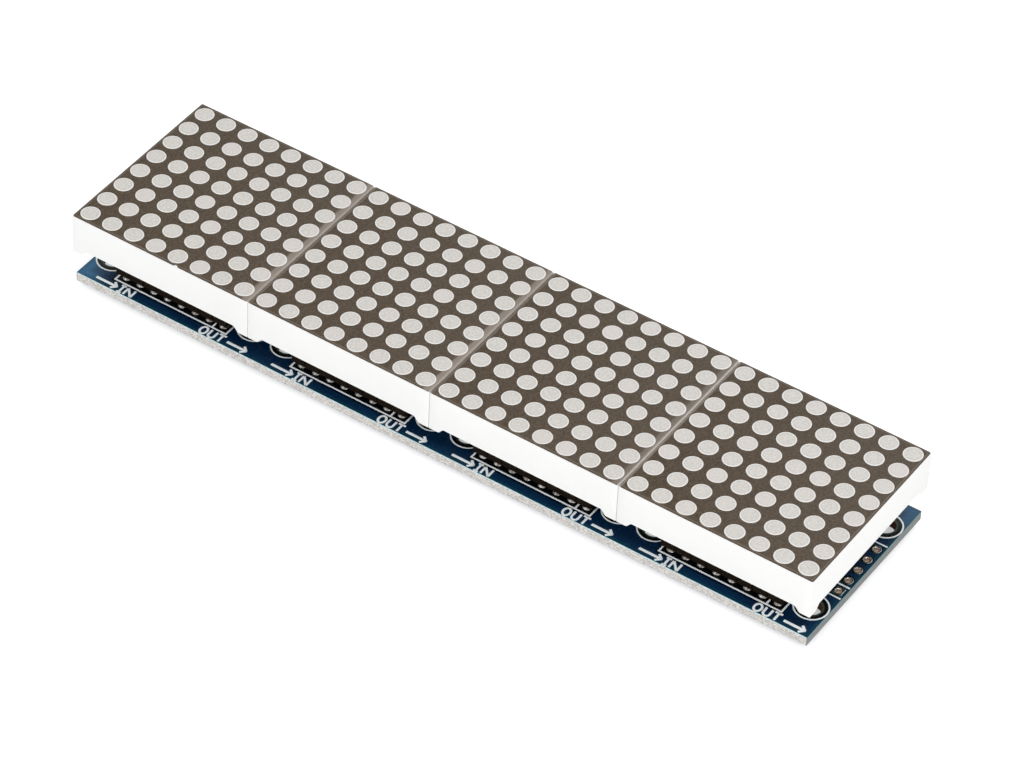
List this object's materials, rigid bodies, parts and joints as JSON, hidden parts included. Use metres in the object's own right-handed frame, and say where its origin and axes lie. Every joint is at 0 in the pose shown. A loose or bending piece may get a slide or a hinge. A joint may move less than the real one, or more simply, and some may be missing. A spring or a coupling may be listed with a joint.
{
  "type": "led dot matrix",
  "caption": "Row of square white LED displays with dark faces and pale round dots, plugged into socket strips over one long blue driver board with open mounting and cable holes.",
  "frame": {"origin": "under the middle of the row of displays, on the plane that the solder joints stand on", "axes": "+X along the row from the input end to the output end, +Y across it to the rear, +Z out of the display faces"},
  "size_m": [0.128, 0.0318, 0.0141],
  "materials": {
    "white_housing": "satin moulded white",
    "dark_print": "satin dark warm grey print",
    "dot_resin": "translucent pale grey resin",
    "board_laminate": "satin glass-fibre laminate",
    "blue_board": "glossy blue lacquer over laminate",
    "black_plastic": "matte moulded black",
    "tinned_metal": "bright tinned metal",
    "solder": "smooth solder",
    "capacitor_ceramic": "matte brown ceramic",
    "resistor_black": "matte black coated ceramic"
  },
  "bodies": {
    "root": {"driver_board": "blue_board", "housing_1": "white_housing", "face_print_1": "dark_print", "dots_1": "dot_resin", "back_board_1": "board_laminate", "display_pins_1": "tinned_metal", "contacts_1": "tinned_metal", "front_socket_1": "black_plastic", "rear_socket_1": "black_plastic", "front_solder_1": "solder", "rear_solder_1": "solder", "driver_chip_1": "black_plastic", "chip_leads_1": "tinned_metal", "housing_2": "white_housing", "face_print_2": "dark_print", "dots_2": "dot_resin", "back_board_2": "board_laminate", "display_pins_2": "tinned_metal", "contacts_2": "tinned_metal", "front_socket_2": "black_plastic", "rear_socket_2": "black_plastic", "front_solder_2": "solder", "rear_solder_2": "solder", "driver_chip_2": "black_plastic", "chip_leads_2": "tinned_metal", "housing_3": "white_housing", "face_print_3": "dark_print", "dots_3": "dot_resin", "back_board_3": "board_laminate", "display_pins_3": "tinned_metal", "contacts_3": "tinned_metal", "front_socket_3": "black_plastic", "rear_socket_3": "black_plastic", "front_solder_3": "solder", "rear_solder_3": "solder", "driver_chip_3": "black_plastic", "chip_leads_3": "tinned_metal", "housing_4": "white_housing", "face_print_4": "dark_print", "dots_4": "dot_resin", "back_board_4": "board_laminate", "display_pins_4": "tinned_metal", "contacts_4": "tinned_metal", "front_socket_4": "black_plastic", "rear_socket_4": "black_plastic", "front_solder_4": "solder", "rear_solder_4": "solder", "driver_chip_4": "black_plastic", "chip_leads_4": "tinned_metal", "bulk_capacitors": "capacitor_ceramic", "bypass_capacitors": "capacitor_ceramic", "resistors": "resistor_black"}
  },
  "joints": []
}
